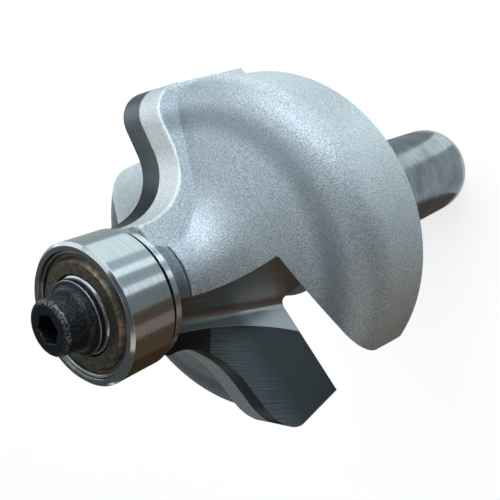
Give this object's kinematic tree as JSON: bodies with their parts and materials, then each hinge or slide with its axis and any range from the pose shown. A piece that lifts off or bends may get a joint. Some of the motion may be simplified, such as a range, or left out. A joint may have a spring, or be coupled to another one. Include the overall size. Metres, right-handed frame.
{
  "type": "router bit",
  "caption": "Ogee router bit with brazed cutters on a gulleted steel head, a round shank and a ball bearing pilot held by a socket-head screw.",
  "frame": {"origin": "centre of the end of the shank", "axes": "+Z along the bit from the end of the shank to the pilot screw, +X through cutter A, whose rake face looks towards +Y"},
  "size_m": [0.0374, 0.0358, 0.0715],
  "materials": {
    "blasted_steel": "bead-blasted steel head, ground shank",
    "hard_metal": "ground dark hard metal",
    "bright_steel": "bright steel",
    "ring_steel": "ground bearing steel",
    "ball_steel": "polished balls",
    "cage_steel": "pressed sheet steel",
    "shield_steel": "pressed sheet steel with an oily brown film",
    "black_steel": "worn black oxide"
  },
  "bodies": {
    "bit": {"body": "blasted_steel", "cutter_a": "hard_metal", "cutter_b": "hard_metal", "dust_washer": "bright_steel", "inner_ring": "ring_steel", "pilot_screw": "black_steel"},
    "pilot_ring": {"outer_ring": "ring_steel", "shield_lower": "shield_steel", "shield_upper": "shield_steel", "snap_wire_lower": "bright_steel", "snap_wire_upper": "bright_steel"},
    "cage": {"cage_lower": "cage_steel", "cage_upper": "cage_steel"},
    "ball_1": {"ball_1": "ball_steel"},
    "ball_2": {"ball_2": "ball_steel"},
    "ball_3": {"ball_3": "ball_steel"},
    "ball_4": {"ball_4": "ball_steel"},
    "ball_5": {"ball_5": "ball_steel"},
    "ball_6": {"ball_6": "ball_steel"},
    "ball_7": {"ball_7": "ball_steel"}
  },
  "joints": [
    {"name": "pilot_spin", "type": "hinge", "parent": "bit", "child": "pilot_ring", "pos_m": [0, 0, 0.06579], "axis": [0, 0, 1], "continuous": true},
    {"name": "cage_spin", "type": "hinge", "parent": "bit", "child": "cage", "pos_m": [0, 0, 0.06579], "axis": [0, 0, 1], "continuous": true},
    {"name": "ball_1_spin", "type": "hinge", "parent": "cage", "child": "ball_1", "pos_m": [0.00436, 0, 0.06579], "axis": [0, 0, 1], "continuous": true},
    {"name": "ball_2_spin", "type": "hinge", "parent": "cage", "child": "ball_2", "pos_m": [0.00272, 0.00341, 0.06579], "axis": [0, 0, 1], "continuous": true},
    {"name": "ball_3_spin", "type": "hinge", "parent": "cage", "child": "ball_3", "pos_m": [-0.00097, 0.00426, 0.06579], "axis": [0, 0, 1], "continuous": true},
    {"name": "ball_4_spin", "type": "hinge", "parent": "cage", "child": "ball_4", "pos_m": [-0.00393, 0.00189, 0.06579], "axis": [0, 0, 1], "continuous": true},
    {"name": "ball_5_spin", "type": "hinge", "parent": "cage", "child": "ball_5", "pos_m": [-0.00393, -0.00189, 0.06579], "axis": [0, 0, 1], "continuous": true},
    {"name": "ball_6_spin", "type": "hinge", "parent": "cage", "child": "ball_6", "pos_m": [-0.00097, -0.00426, 0.06579], "axis": [0, 0, 1], "continuous": true},
    {"name": "ball_7_spin", "type": "hinge", "parent": "cage", "child": "ball_7", "pos_m": [0.00272, -0.00341, 0.06579], "axis": [0, 0, 1], "continuous": true}
  ],
  "couplings": [
    {"joint": "cage_spin", "follows": "pilot_spin", "ratio": 0.6363},
    {"joint": "ball_1_spin", "follows": "pilot_spin", "ratio": 1.6977},
    {"joint": "ball_2_spin", "follows": "pilot_spin", "ratio": 1.6977},
    {"joint": "ball_3_spin", "follows": "pilot_spin", "ratio": 1.6977},
    {"joint": "ball_4_spin", "follows": "pilot_spin", "ratio": 1.6977},
    {"joint": "ball_5_spin", "follows": "pilot_spin", "ratio": 1.6977},
    {"joint": "ball_6_spin", "follows": "pilot_spin", "ratio": 1.6977},
    {"joint": "ball_7_spin", "follows": "pilot_spin", "ratio": 1.6977}
  ]
}
